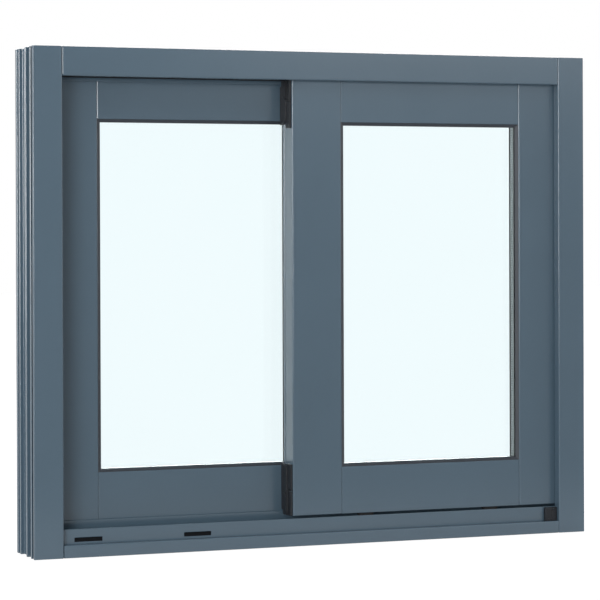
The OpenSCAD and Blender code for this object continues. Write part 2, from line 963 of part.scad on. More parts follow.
// Pile between the interlocked meeting stiles
module interlock_pile() {
    z0 = mid_wall_h + end_clear;
    color(black) translate([front_x + stile_w - pile_w - pile_in, 0, z0])
        linear_extrude(frame_h - mid_leg - end_clear - z0) {
            plate(0, front_back, pile_w, front_back + pile_back);
            plate(pile_back, front_back, pile_w - pile_back, rear_y);
        }
}

module front_pull() {
    on_front() other_side() pull_tray();
}

module front_pull_thumb() {
    on_front() other_side() pull_thumb();
}

module rear_pull() {
    on_rear() pull_tray();
}

module rear_pull_thumb() {
    on_rear() pull_thumb();
}

// Puts the drawing's corner frame on the row's frame
module place() {
    translate([-frame_w / 2, -frame_d / 2, 0]) children();
}

place() left_jamb_outdoor();
place() left_jamb_indoor();
place() left_jamb_break();
place() right_jamb_outdoor();
place() right_jamb_indoor();
place() right_jamb_break();
place() head_outdoor();
place() head_indoor();
place() head_break();
place() sill_outdoor();
place() sill_indoor();
place() sill_break();
place() front_meeting_stile();
place() front_jamb_stile();
place() front_top_rail();
place() front_bottom_rail();
place() front_outer_pane();
place() front_inner_pane();
place() front_spacer();
place() front_sealant();
place() front_gasket();
place() front_rollers();
place() rear_meeting_stile();
place() rear_jamb_stile();
place() rear_top_rail();
place() rear_bottom_rail();
place() rear_outer_pane();
place() rear_inner_pane();
place() rear_spacer();
place() rear_sealant();
place() rear_gasket();
place() rear_rollers();
place() stile_foot_block();
place() stile_head_block();
place() sill_end_block();
place() left_jamb_pile();
place() right_jamb_pile();
place() head_pile();
place() sill_pile();
place() interlock_pile();
place() front_pull();
place() front_pull_thumb();
place() rear_pull();
place() rear_pull_thumb();
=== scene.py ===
# Horizontal sliding window, seen from outdoors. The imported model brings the
# extrusions, sashes, glass and seals; this script gives them their finishes and
# edge rounding, adds the small parts, and sets the light and the view.
import math
import bmesh
import bpy
from mathutils import Matrix, Vector


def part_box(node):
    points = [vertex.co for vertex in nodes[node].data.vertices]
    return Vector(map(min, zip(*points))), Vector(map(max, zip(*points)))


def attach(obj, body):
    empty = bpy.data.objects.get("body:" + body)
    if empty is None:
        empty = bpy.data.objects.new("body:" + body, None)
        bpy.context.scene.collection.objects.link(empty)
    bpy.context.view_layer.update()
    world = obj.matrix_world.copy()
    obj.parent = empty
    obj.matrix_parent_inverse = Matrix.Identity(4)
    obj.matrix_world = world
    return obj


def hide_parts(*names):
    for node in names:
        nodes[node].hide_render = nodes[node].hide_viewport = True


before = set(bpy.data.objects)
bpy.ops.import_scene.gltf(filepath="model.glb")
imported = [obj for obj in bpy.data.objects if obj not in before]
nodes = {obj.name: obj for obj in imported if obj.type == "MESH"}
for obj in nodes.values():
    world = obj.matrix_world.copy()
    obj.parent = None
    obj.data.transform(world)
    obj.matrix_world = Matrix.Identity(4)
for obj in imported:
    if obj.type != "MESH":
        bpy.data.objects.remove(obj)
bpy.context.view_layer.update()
scene = bpy.context.scene
mm = 0.001
print("loaded", len(nodes), "nodes of the window")


# View: the camera that the photograph was taken with
view = {
    "place": (-1.2212, -3.0866, 0.4096),
    "turn": 21.40,       # degrees to the right of the frame's normal
    "dip": -0.24,        # looks slightly down
    "roll": 0.197,
    "lens": 153.0,
    "sensor": 36.0,
    "shiftY": -0.1036,
    "sight": 50.0,       # metres
}


def addCamera():
    data = bpy.data.cameras.new("windowCamera")
    data.sensor_width = view["sensor"]
    data.sensor_fit = "HORIZONTAL"
    data.lens = view["lens"]
    data.shift_y = view["shiftY"]
    data.clip_end = view["sight"]
    camera = bpy.data.objects.new("windowCamera", data)
    aim = (Matrix.Rotation(-math.radians(view["turn"]), 4, "Z")
           @ Matrix.Rotation(math.radians(90.0 + view["dip"]), 4, "X")
           @ Matrix.Rotation(-math.radians(view["roll"]), 4, "Z"))
    camera.matrix_world = Matrix.Translation(view["place"]) @ aim
    scene.collection.objects.link(camera)
    scene.camera = camera


addCamera()
print("camera set")


# Shader helpers
def putNode(tree, kind, label="", **settings):
    node = tree.nodes.new(kind)
    if label:
        node.label = label
    for name, value in settings.items():
        setattr(node, name, value)
    return node


def setInputs(node, **values):
    for name, value in values.items():
        node.inputs[name].default_value = value


def newGroup(name, inputs, outputs, kind="ShaderNodeTree"):
    group = bpy.data.node_groups.new(name, kind)
    for label, socketKind, value in inputs:
        socket = group.interface.new_socket(label, in_out="INPUT", socket_type=socketKind)
        if value is not None:
            socket.default_value = value
    for label, socketKind in outputs:
        group.interface.new_socket(label, in_out="OUTPUT", socket_type=socketKind)
    return group, putNode(group, "NodeGroupInput"), putNode(group, "NodeGroupOutput")


def buildDriftGroup():
    # slow variation of colour and gloss over a surface, with a little fine mottle
    group, given, out = newGroup(
        "finishDrift",
        [("Coordinates", "NodeSocketVector", None),
         ("Colour", "NodeSocketColor", (0.5, 0.5, 0.5, 1.0)),
         ("Drift", "NodeSocketFloat", 0.05),
         ("Drift Scale", "NodeSocketFloat", 9.0),
         ("Mottle", "NodeSocketFloat", 0.03),
         ("Mottle Scale", "NodeSocketFloat", 260.0),
         ("Roughness", "NodeSocketFloat", 0.4),
         ("Gloss Drift", "NodeSocketFloat", 0.06)],
        [("Colour", "NodeSocketColor"), ("Roughness", "NodeSocketFloat")])
    link = group.links.new
    slow = putNode(group, "ShaderNodeTexNoise", "slow drift")
    setInputs(slow, Detail=3.0, Roughness=0.55, Distortion=0.6)
    link(given.outputs["Coordinates"], slow.inputs["Vector"])
    link(given.outputs["Drift Scale"], slow.inputs["Scale"])
    fine = putNode(group, "ShaderNodeTexNoise", "fine mottle")
    setInputs(fine, Detail=2.0, Roughness=0.6)
    link(given.outputs["Coordinates"], fine.inputs["Vector"])
    link(given.outputs["Mottle Scale"], fine.inputs["Scale"])

    def around(source, amount, base):
        # base + (source - 0.5) * amount
        centred = putNode(group, "ShaderNodeMath", operation="SUBTRACT")
        link(source, centred.inputs[0])
        centred.inputs[1].default_value = 0.5
        scaled = putNode(group, "ShaderNodeMath", operation="MULTIPLY_ADD")
        link(centred.outputs[0], scaled.inputs[0])
        link(amount, scaled.inputs[1])
        if isinstance(base, float):
            scaled.inputs[2].default_value = base
        else:
            link(base, scaled.inputs[2])
        return scaled.outputs[0]

    shade = around(slow.outputs["Fac"], given.outputs["Drift"], 1.0)
    shade = around(fine.outputs["Fac"], given.outputs["Mottle"], shade)
    tinted = putNode(group, "ShaderNodeVectorMath", operation="SCALE")
    link(given.outputs["Colour"], tinted.inputs[0])
    link(shade, tinted.inputs["Scale"])
    link(tinted.outputs[0], out.inputs["Colour"])
    link(around(slow.outputs["Fac"], given.outputs["Gloss Drift"],
                given.outputs["Roughness"]), out.inputs["Roughness"])
    return group


def buildGrainGroup():
    # height of a moulded or sprayed skin: rounded cells over a fine grit
    group, given, out = newGroup(
        "skinGrain",
        [("Coordinates", "NodeSocketVector", None),
         ("Cell Scale", "NodeSocketFloat", 500.0),
         ("Grit Scale", "NodeSocketFloat", 1500.0),
         ("Grit", "NodeSocketFloat", 0.4)],
        [("Height", "NodeSocketFloat")])
    link = group.links.new
    cells = putNode(group, "ShaderNodeTexVoronoi", "cells", feature="SMOOTH_F1")
    cells.inputs["Smoothness"].default_value = 0.8
    link(given.outputs["Coordinates"], cells.inputs["Vector"])
    link(given.outputs["Cell Scale"], cells.inputs["Scale"])
    grit = putNode(group, "ShaderNodeTexNoise", "grit")
    setInputs(grit, Detail=2.0, Roughness=0.5)
    link(given.outputs["Coordinates"], grit.inputs["Vector"])
    link(given.outputs["Grit Scale"], grit.inputs["Scale"])
    both = putNode(group, "ShaderNodeMath", operation="MULTIPLY_ADD")
    link(grit.outputs["Fac"], both.inputs[0])
    link(given.outputs["Grit"], both.inputs[1])
    link(cells.outputs["Distance"], both.inputs[2])
    link(both.outputs[0], out.inputs["Height"])
    return group


def buildDrawGroup():
    # faint lines along an extrusion or a drawn bar, stretched along one axis
    group, given, out = newGroup(
        "drawLines",
        [("Coordinates", "NodeSocketVector", None),
         ("Across", "NodeSocketVector", (900.0, 900.0, 6.0))],
        [("Height", "NodeSocketFloat")])
    link = group.links.new
    stretched = putNode(group, "ShaderNodeVectorMath", operation="MULTIPLY")
    link(given.outputs["Coordinates"], stretched.inputs[0])
    link(given.outputs["Across"], stretched.inputs[1])
    lines = putNode(group, "ShaderNodeTexNoise", "lines")
    setInputs(lines, Scale=1.0, Detail=3.0, Roughness=0.6)
    link(stretched.outputs[0], lines.inputs["Vector"])
    link(lines.outputs["Fac"], out.inputs["Height"])
    return group


driftGroup = buildDriftGroup()
grainGroup = buildGrainGroup()
drawGroup = buildDrawGroup()


def newMaterial(name):
    material = bpy.data.materials.new(name)
    material.use_nodes = True
    tree = material.node_tree
    tree.nodes.clear()
    out = putNode(tree, "ShaderNodeOutputMaterial")
    shader = putNode(tree, "ShaderNodeBsdfPrincipled")
    tree.links.new(shader.outputs[0], out.inputs["Surface"])
    where = putNode(tree, "ShaderNodeTexCoord")
    return material, tree, shader, where.outputs["Object"]


def addDrift(tree, shader, where, **values):
    drift = putNode(tree, "ShaderNodeGroup", node_tree=driftGroup)
    tree.links.new(where, drift.inputs["Coordinates"])
    setInputs(drift, **values)
    tree.links.new(drift.outputs["Colour"], shader.inputs["Base Color"])
    tree.links.new(drift.outputs["Roughness"], shader.inputs["Roughness"])


def addBump(tree, shader, height, depth):
    bump = putNode(tree, "ShaderNodeBump")
    setInputs(bump, Strength=1.0, Distance=depth)
    tree.links.new(height, bump.inputs["Height"])
    tree.links.new(bump.outputs["Normal"], shader.inputs["Normal"])


def addGrain(tree, where, **values):
    grain = putNode(tree, "ShaderNodeGroup", node_tree=grainGroup)
    tree.links.new(where, grain.inputs["Coordinates"])
    setInputs(grain, **values)
    return grain.outputs["Height"]


def addDrawLines(tree, where, across):
    draw = putNode(tree, "ShaderNodeGroup", node_tree=drawGroup)
    tree.links.new(where, draw.inputs["Coordinates"])
    draw.inputs["Across"].default_value = across
    return draw.outputs["Height"]


# Finishes. Names with capitals are the inputs of the groups above; depths are in metres
paint = {
    "surface": {"Colour": (0.076, 0.121, 0.162, 1.0), "Drift": 0.10, "Drift Scale": 7.0,
                "Mottle": 0.05, "Mottle Scale": 420.0, "Roughness": 0.20, "Gloss Drift": 0.10},
    "peel": {"Cell Scale": 700.0, "Grit Scale": 2600.0, "Grit": 0.35},
    "peelDepth": 0.000008,
    "lines": {"X": (5.0, 260.0, 260.0), "Z": (260.0, 260.0, 5.0)},
    "lineShare": 0.5,       # of the drawn lines in the height
    "ior": 1.6,
}


def makePaint(name, along):
    # satin powder coat on an extrusion that runs along X or Z
    material, tree, shader, where = newMaterial(name)
    addDrift(tree, shader, where, **paint["surface"])
    height = putNode(tree, "ShaderNodeMath", operation="MULTIPLY_ADD")
    tree.links.new(addDrawLines(tree, where, paint["lines"][along]), height.inputs[0])
    height.inputs[1].default_value = paint["lineShare"]
    tree.links.new(addGrain(tree, where, **paint["peel"]), height.inputs[2])
    addBump(tree, shader, height.outputs[0], paint["peelDepth"])
    shader.inputs["IOR"].default_value = paint["ior"]
    return material


glassLook = {
    "surface": {"Colour": (0.957, 1.0, 1.0, 1.0), "Drift": 0.012, "Drift Scale": 5.0,
                "Mottle": 0.0},
    "roughness": 0.0,
    "ior": 1.27,
}


def makeGlass():
    material, tree, shader, where = newMaterial("floatGlass")
    addDrift(tree, shader, where, **glassLook["surface"])
    tree.links.remove(shader.inputs["Roughness"].links[0])
    setInputs(shader, **{"Metallic": 0.0, "IOR": glassLook["ior"],
                         "Roughness": glassLook["roughness"], "Transmission Weight": 1.0})
    return material


spacerLook = {
    "surface": {"Colour": (0.24, 0.265, 0.27, 1.0), "Drift": 0.10, "Drift Scale": 30.0,
                "Mottle": 0.10, "Mottle Scale": 900.0, "Roughness": 0.38, "Gloss Drift": 0.15},
    "metallic": 0.85,
    "lines": (60.0, 1500.0, 60.0),
    "lineDepth": 0.00003,
}


def makeSpacer():
    material, tree, shader, where = newMaterial("spacerAluminium")
    addDrift(tree, shader, where, **spacerLook["surface"])
    shader.inputs["Metallic"].default_value = spacerLook["metallic"]
    addBump(tree, shader, addDrawLines(tree, where, spacerLook["lines"]), spacerLook["lineDepth"])
    return material


# Moulded rubber, nylon and plastic with a fine grained skin, and a near-black finish that paints
# the shade inside holes and slots
moulded = {
    "gasket": {"name": "gasketRubber", "colour": (0.034, 0.041, 0.052, 1.0), "roughness": 0.42,
               "cell": 1400.0, "depth": 0.00003, "gloss": 0.35},
    # thermal breaks: a blue-grey darker than the paint, the tone the recessed web shows
    "break": {"name": "darkBlueGreyPolyamide", "colour": (0.055, 0.075, 0.09, 1.0), "roughness": 0.55,
              "cell": 900.0, "depth": 0.00003},
    "black": {"name": "blackMoulding", "colour": (0.015, 0.017, 0.021, 1.0), "roughness": 0.42,
              "cell": 800.0, "depth": 0.00005, "gloss": 0.3},
    "sealant": {"name": "edgeSealant", "colour": (0.022, 0.022, 0.024, 1.0), "roughness": 0.7,
                "cell": 500.0, "depth": 0.0001},
    "nylon": {"name": "rollerNylon", "colour": (0.045, 0.046, 0.050, 1.0), "roughness": 0.5,
              "cell": 700.0, "depth": 0.00003, "drift": 0.06},
    # painted shade: a near-black finish that stands for the dark inside of holes and slots, not
    # the colour of a part
    "hole": {"name": "perforation", "colour": (0.008, 0.009, 0.011, 1.0), "roughness": 0.8,
             "cell": 1500.0, "depth": 0.00002, "gloss": 0.1},
}
mouldedSkin = {"Drift Scale": 24.0, "Mottle": 0.20, "Mottle Scale": 1100.0, "Gloss Drift": 0.16}
mouldedGrit = {"finer": 3.0, "share": 0.5}      # against the cells of the grain


def makeMoulded(name, colour, roughness, cell, depth, drift=0.14, gloss=0.5):
    material, tree, shader, where = newMaterial(name)
    addDrift(tree, shader, where, Colour=colour, Drift=drift, Roughness=roughness,
             **mouldedSkin)
    grain = addGrain(tree, where, **{"Cell Scale": cell, "Grit Scale": cell * mouldedGrit["finer"],
                                     "Grit": mouldedGrit["share"]})
    addBump(tree, shader, grain, depth)
    shader.inputs["Specular IOR Level"].default_value = gloss
    return material


tuftLook = {
    "surface": {"Colour": (0.032, 0.032, 0.034, 1.0), "Drift": 0.5, "Drift Scale": 120.0,
                "Mottle": 0.9, "Mottle Scale": 2400.0, "Roughness": 0.92, "Gloss Drift": 0.05},
    "grain": {"Cell Scale": 2200.0, "Grit Scale": 5200.0, "Grit": 0.8},
    "grainDepth": 0.0001,
    "sheen": {"Sheen Weight": 0.25, "Sheen Roughness": 0.6},
}


def makePile():
    material, tree, shader, where = newMaterial("wovenPile")
    addDrift(tree, shader, where, **tuftLook["surface"])
    addBump(tree, shader, addGrain(tree, where, **tuftLook["grain"]), tuftLook["grainDepth"])
    setInputs(shader, **tuftLook["sheen"])
    return material


zincLook = {"Colour": (0.52, 0.53, 0.54, 1.0), "Drift": 0.18, "Drift Scale": 160.0, "Mottle": 0.2,
            "Mottle Scale": 2400.0, "Roughness": 0.36, "Gloss Drift": 0.2}


def makeZinc():
    # zinc plated steel of the screws
    material, tree, shader, where = newMaterial("zincPlate")
    addDrift(tree, shader, where, **zincLook)
    shader.inputs["Metallic"].default_value = 1.0
    return material


finishes = {
    "paintUpright": makePaint("powderCoatUpright", "Z"),
    "paintLevel": makePaint("powderCoatLevel", "X"),
    "glass": makeGlass(),
    "spacer": makeSpacer(),
    "pile": makePile(),
    "zinc": makeZinc(),
}
for finishName, mouldedLook in moulded.items():
    finishes[finishName] = makeMoulded(**mouldedLook)
print("finishes made:", len(finishes))


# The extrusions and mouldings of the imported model
rounding = {
    "frame": 0.6 * mm,      # eased edges of the extrusions
    "sash": 0.8 * mm,
    "glass": 0.5 * mm,      # ground edge
    "gasket": 0.3 * mm,
    "fitting": 0.4 * mm,
    "mergeWithin": 0.002 * mm,
    "flatWithin": 0.6,      # degrees
    "sharpOver": 50.0,      # degrees
    "segments": 2,
    "faceWeight": 100,
}


def chooseFinish(name):
    if name.endswith("_break"):
        return "break", rounding["gasket"]
    if name.endswith("_pane"):
        return "glass", rounding["glass"]
    if name.endswith("_spacer"):
        return "spacer", 0.0
    if name.endswith("_sealant"):
        return "sealant", 0.0
    if name.endswith("_gasket"):
        return "gasket", rounding["gasket"]
    if name.endswith("_rollers"):
        return "nylon", rounding["fitting"]
    if name.endswith("_pile"):
        return "pile", 0.0
    if name.endswith("_block") or "_pull" in name:
        return "black", rounding["fitting"]
    level = name.startswith(("head", "sill")) or name.endswith("_rail")
    edge = rounding["sash" if name.startswith(("front", "rear")) else "frame"]
    return ("paintLevel" if level else "paintUpright"), edge


def dressNode(name):
    part = nodes[name]
    finish, width = chooseFinish(name)
    part.data.materials.clear()
    part.data.materials.append(finishes[finish])
    part.data.polygons.foreach_set("material_index", [0] * len(part.data.polygons))
    merge = part.modifiers.new("merge", "WELD")
    merge.merge_threshold = rounding["mergeWithin"]
    flat = part.modifiers.new("flatFaces", "DECIMATE")
    flat.decimate_type = "DISSOLVE"
    flat.angle_limit = math.radians(rounding["flatWithin"])
    if width > 0.0:
        bevel = part.modifiers.new("roundEdges", "BEVEL")
        bevel.width = width
        bevel.segments = rounding["segments"]
        bevel.limit_method = "ANGLE"
        bevel.angle_limit = math.radians(rounding["sharpOver"])
        bevel.use_clamp_overlap = False
        bevel.harden_normals = True
    even = part.modifiers.new("evenNormals", "WEIGHTED_NORMAL")
    even.weight = rounding["faceWeight"]
    even.keep_sharp = True


for nodeName in nodes:
    dressNode(nodeName)
print("packed parts dressed")


# Small parts that repeat. Each kind has its own Geometry Nodes tree, built here
def nodesOf(tree):
    def add(kind, *links, **settings):
        # links: (socket of the new node, output it takes)
        node = putNode(tree, kind, **settings)
        for socket, source in links:
            if isinstance(source, bpy.types.NodeSocket):
                tree.links.new(source, node.inputs[socket])
            else:
                node.inputs[socket].default_value = source
        return node
    return add


def buildStudTree():
    # little cones or discs along the edges of a mesh, upright on its "facing" attribute
    tree, given, out = newGroup(
        "studsAlongLines",
        [("Lines", "NodeSocketGeometry", None),
         ("Spacing", "NodeSocketFloat", 0.0013),
         ("Radius", "NodeSocketFloat", 0.0006),
         ("Tip Radius", "NodeSocketFloat", 0.0003),
         ("Height", "NodeSocketFloat", 0.0012),
         ("Sides", "NodeSocketInt", 4),
         ("Jitter", "NodeSocketFloat", 0.0001),
         ("Lean", "NodeSocketFloat", 0.1),
         ("Seed", "NodeSocketInt", 3),
         ("Finish", "NodeSocketMaterial", None)],
        [("Studs", "NodeSocketGeometry")], "GeometryNodeTree")
    add = nodesOf(tree)
    value = given.outputs
    lines = add("GeometryNodeMeshToCurve", ("Mesh", value["Lines"]))
    spread = add("GeometryNodeResampleCurve", ("Curve", lines.outputs[0]),
                 ("Length", value["Spacing"]), mode="LENGTH")

    def anyWay(seedOffset):
        # a random vector from -1 to 1 on each axis
        seed = add("ShaderNodeMath", (0, value["Seed"]), (1, seedOffset), operation="ADD")
        pick = add("FunctionNodeRandomValue", ("Seed", seed.outputs[0]), data_type="FLOAT_VECTOR")
        pick.inputs["Min"].default_value = (-1.0, -1.0, -1.0)
        pick.inputs["Max"].default_value = (1.0, 1.0, 1.0)
        return pick.outputs["Value"]

    shift = add("ShaderNodeVectorMath", (0, anyWay(1.0)), operation="SCALE")
    tree.links.new(value["Jitter"], shift.inputs["Scale"])
    moved = add("GeometryNodeSetPosition", ("Geometry", spread.outputs[0]),
                ("Offset", shift.outputs[0]))
    stud = add("GeometryNodeMeshCone", ("Vertices", value["Sides"]),
               ("Radius Top", value["Tip Radius"]), ("Radius Bottom", value["Radius"]),
               ("Depth", value["Height"]), fill_type="NGON")
    facing = add("GeometryNodeInputNamedAttribute", ("Name", "facing"), data_type="FLOAT_VECTOR")
    tilt = add("ShaderNodeVectorMath", (0, anyWay(7.0)), operation="SCALE")
    tree.links.new(value["Lean"], tilt.inputs["Scale"])
    upward = add("ShaderNodeVectorMath", (0, facing.outputs[0]), (1, tilt.outputs[0]),
                 operation="ADD")
    aligned = add("FunctionNodeAlignRotationToVector", ("Vector", upward.outputs[0]), axis="Z")
    placed = add("GeometryNodeInstanceOnPoints", ("Points", moved.outputs[0]),
                 ("Instance", stud.outputs["Mesh"]), ("Rotation", aligned.outputs[0]))
    real = add("GeometryNodeRealizeInstances", ("Geometry", placed.outputs[0]))
    dressed = add("GeometryNodeSetMaterial", ("Geometry", real.outputs[0]),
                  ("Material", value["Finish"]))
    tree.links.new(dressed.outputs[0], out.inputs["Studs"])
    return tree


# Screws: sizes of a head in millimetres, its tiers and recess as shares of those, and
# where the heads sit
screwLook = {
    "radius": 3.4, "height": 2.1, "recess": 3.7,
    "small": 0.62,          # scale of those of the end blocks
    "sides": 20,
    "tiers": ((1.0, 0.96, 0.0, 0.46), (0.97, 0.76, 0.44, 0.34), (0.78, 0.45, 0.76, 0.24)),
    "slot": 0.24,           # width of the cross, of its length
    "slotLift": 0.95,       # of the head's height
    "cornerIn": 5.0,        # of the jamb's web from the frame's side
    "corners": ((39.3, 622.5), (39.3, 13.0), (67.8, 614.7), (67.8, 20.3)),
    "stile": {"x": 427.4, "y": 62.2, "heights": (63.9, 84.9, 603.9, 562.9)},
    "blocks": {"x": 345.8, "y": 30.45, "heights": (65.2, 577.5)},
}


def buildScrewTree():
    # pan heads with a cross recess, on the points of a mesh, upright on "facing"
    tree, given, out = newGroup(
        "screwHeads",
        [("Places", "NodeSocketGeometry", None),
         ("Radius", "NodeSocketFloat", 0.0034),
         ("Height", "NodeSocketFloat", 0.0021),
         ("Recess", "NodeSocketFloat", 0.0036),
         ("Seed", "NodeSocketInt", 5),
         ("Finish", "NodeSocketMaterial", None)],
        [("Heads", "NodeSocketGeometry")], "GeometryNodeTree")
    add = nodesOf(tree)
    value = given.outputs

    def times(source, factor):
        return add("ShaderNodeMath", (0, source), (1, factor), operation="MULTIPLY").outputs[0]

    tiers = add("GeometryNodeMeshBoolean", operation="UNION", solver="EXACT")
    for bottom, top, start, rise in screwLook["tiers"]:
        tier = add("GeometryNodeMeshCone", ("Vertices", screwLook["sides"]),
                   ("Radius Top", times(value["Radius"], top)),
                   ("Radius Bottom", times(value["Radius"], bottom)),
                   ("Depth", times(value["Height"], rise)), fill_type="NGON")
        lift = add("ShaderNodeCombineXYZ", ("Z", times(value["Height"], start)))
        raised = add("GeometryNodeTransform", ("Geometry", tier.outputs["Mesh"]),
                     ("Translation", lift.outputs[0]))
        tree.links.new(raised.outputs[0], tiers.inputs["Mesh 2"])
    cut = add("GeometryNodeMeshBoolean", ("Mesh 1", tiers.outputs["Mesh"]),
              operation="DIFFERENCE", solver="EXACT")
    for long, wide in ((1.0, screwLook["slot"]), (screwLook["slot"], 1.0)):
        size = add("ShaderNodeCombineXYZ", ("X", times(value["Recess"], long)),
                   ("Y", times(value["Recess"], wide)), ("Z", value["Height"]))
        bar = add("GeometryNodeMeshCube", ("Size", size.outputs[0]))
        lift = add("ShaderNodeCombineXYZ", ("Z", times(value["Height"], screwLook["slotLift"])))
        raised = add("GeometryNodeTransform", ("Geometry", bar.outputs["Mesh"]),
                     ("Translation", lift.outputs[0]))
        tree.links.new(raised.outputs[0], cut.inputs["Mesh 2"])
    facing = add("GeometryNodeInputNamedAttribute", ("Name", "facing"), data_type="FLOAT_VECTOR")
    aligned = add("FunctionNodeAlignRotationToVector", ("Vector", facing.outputs[0]), axis="Z")
    spin = add("FunctionNodeRandomValue", ("Seed", value["Seed"]), data_type="FLOAT")
    spin.inputs["Max"].default_value = math.pi
    about = add("ShaderNodeCombineXYZ", ("Z", spin.outputs["Value"]))
    asTurn = add("FunctionNodeEulerToRotation", ("Euler", about.outputs[0]))
    turned = add("FunctionNodeRotateRotation", ("Rotation", aligned.outputs[0]),
                 ("Rotate By", asTurn.outputs[0]), rotation_space="LOCAL")
    placed = add("GeometryNodeInstanceOnPoints", ("Points", value["Places"]),
                 ("Instance", cut.outputs["Mesh"]), ("Rotation", turned.outputs[0]))
    real = add("GeometryNodeRealizeInstances", ("Geometry", placed.outputs[0]))
    dressed = add("GeometryNodeSetMaterial", ("Geometry", real.outputs[0]),
                  ("Material", value["Finish"]))
    tree.links.new(dressed.outputs[0], out.inputs["Heads"])
    return tree


studTree = buildStudTree()
screwTree = buildScrewTree()
frameSize = {"width": 762.0, "depth": 82.6, "height": 635.0}


def spot(x, y, z):
    # a place in the drawing's millimetres, from the frame's left outdoor corner
    return Vector((x - frameSize["width"] / 2.0, y - frameSize["depth"] / 2.0, z)) * mm


def growNodes(name, tree, points, edges, facings, **values):
    # runs a tree on loose points and edges, and gives back a plain mesh object
    mesh = bpy.data.meshes.new(name)
    mesh.from_pydata(points, edges, [])
    facing = mesh.attributes.new("facing", "FLOAT_VECTOR", "POINT")
    facing.data.foreach_set("vector", [value for way in facings for value in way])
    piece = bpy.data.objects.new(name, mesh)
    scene.collection.objects.link(piece)
    grow = piece.modifiers.new("grow", "NODES")
    grow.node_group = tree
    for item in tree.interface.items_tree:
        if item.in_out == "INPUT" and item.name in values:
            grow[item.identifier] = values[item.name]
    depsgraph = bpy.context.evaluated_depsgraph_get()
    grown = bpy.data.meshes.new_from_object(piece.evaluated_get(depsgraph), depsgraph=depsgraph)
    piece.modifiers.remove(grow)
    piece.data = grown
    grown.name = name
    return piece


# Woven pile strips: a backing, and rows of tufts on it
pileLook = {
    "width": 5.0,           # mm, as all sizes here
    "backing": 0.5,
    "rows": (1.05, 2.5, 3.95),
    "spacing": 1.25,
    "radius": 0.66,
    "tip": 0.34,
    "sink": 0.15,           # tufts start this deep in the backing
    "jitter": 0.13,
    "lean": 0.14,
    "jambEnds": (41.5, 602.5),
    "levelEnds": (42.0, 720.0),
    "interlockEnds": (43.5, 592.0),
    # each run's way in from the frame's side and from its top, its depth in the frame,
    # and whether it faces indoors (1) or outdoors (-1)
    "runs": ((29.7, 28.2, 13.0, 1), (28.5, 28.5, 43.8, -1),
             (34.5, 34.5, 46.8, 1), (31.5, 31.5, 77.6, -1)),
    "sill": (77.6, 43.5),   # depth in the frame, height
    "interlock": (405.1, 42.15),
    "height": 1.65,
    "interlockHeight": 6.3,
    "tallPile": 2.0,        # a pile over this leans less
}


def pileStrips():
    # each strip: start, direction along, length, direction across, facing, height
    low, high = pileLook["jambEnds"]
    left, right = pileLook["levelEnds"]
    inner, outer = pileLook["interlockEnds"]
    east, up, back = Vector((1, 0, 0)), Vector((0, 0, 1)), Vector((0, 1, 0))
    height = pileLook["height"]
    leftJamb, rightJamb, head = [], [], []
    for fromSide, fromTop, y, way in pileLook["runs"]:
        facing = back * way
        leftJamb.append((spot(fromSide, y, low), up, high - low, east, facing, height))
        rightJamb.append((spot(frameSize["width"] - fromSide, y, low), up, high - low, -east,
                          facing, height))
        head.append((spot(left, y, frameSize["height"] - fromTop), east, right - left, -up,
                     facing, height))
    sillY, sillZ = pileLook["sill"]
    lockX, lockY = pileLook["interlock"]
    return {
        "leftJambPile": leftJamb, "rightJambPile": rightJamb, "headPile": head,
        "sillPile": [(spot(left, sillY, sillZ), east, right - left, up, -back, height)],
        "interlockPile": [(spot(lockX, lockY, inner), up, outer - inner, east, back,
                           pileLook["interlockHeight"])],
    }


def addSlab(shape, corner, *sides):
    # a closed block from a corner and its three sides, outward whatever their order
    verts = [shape.verts.new(sum((side * bit for side, bit in zip(sides, bits)), corner))
             for bits in ((0, 0, 0), (1, 0, 0), (1, 1, 0), (0, 1, 0),
                          (0, 0, 1), (1, 0, 1), (1, 1, 1), (0, 1, 1))]
    faces = [shape.faces.new([verts[i] for i in loop])
             for loop in ((0, 3, 2, 1), (4, 5, 6, 7), (0, 1, 5, 4), (1, 2, 6, 5), (2, 3, 7, 6),
                          (3, 0, 4, 7))]
    bmesh.ops.recalc_face_normals(shape, faces=faces)
    return faces


def buildPile(name, strips, replaced):
    points, edges, facings = [], [], []
    height = strips[0][5]
    for start, along, length, across, facing, _ in strips:
        for row in pileLook["rows"]:
            foot = start + (across * row
                            + facing * (pileLook["backing"] - pileLook["sink"])) * mm
            inset = along * pileLook["radius"] * mm
            points += [foot + inset, foot + along * length * mm - inset]
            edges.append((len(points) - 2, len(points) - 1))
            facings += [facing, facing]
    piece = growNodes(name, studTree, points, edges, facings, **{
        "Spacing": pileLook["spacing"] * mm, "Radius": pileLook["radius"] * mm,
        "Tip Radius": pileLook["tip"] * mm, "Sides": 4, "Jitter": pileLook["jitter"] * mm,
        "Height": (height - pileLook["backing"] + pileLook["sink"]) * mm,
        "Lean": pileLook["lean"] * min(1.0, pileLook["tallPile"] / height), "Seed": len(name),
        "Finish": finishes["pile"]})
    shape = bmesh.new()
    shape.from_mesh(piece.data)
    piece.data.materials.append(finishes["black"])
    for start, along, length, across, facing, _ in strips:
        for face in addSlab(shape, start, along * length * mm, across * pileLook["width"] * mm,
                            facing * pileLook["backing"] * mm):
            face.material_index = len(piece.data.materials) - 1
    shape.to_mesh(piece.data)
    shape.free()
    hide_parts(replaced)
    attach(piece, "root")


pileNodes = {"leftJambPile": "left_jamb_pile", "rightJambPile": "right_jamb_pile",
             "headPile": "head_pile", "sillPile": "sill_pile", "interlockPile": "interlock_pile"}
for pileName, pileSet in pileStrips().items():
    buildPile(pileName, pileSet, pileNodes[pileName])
print("pile strips grown")
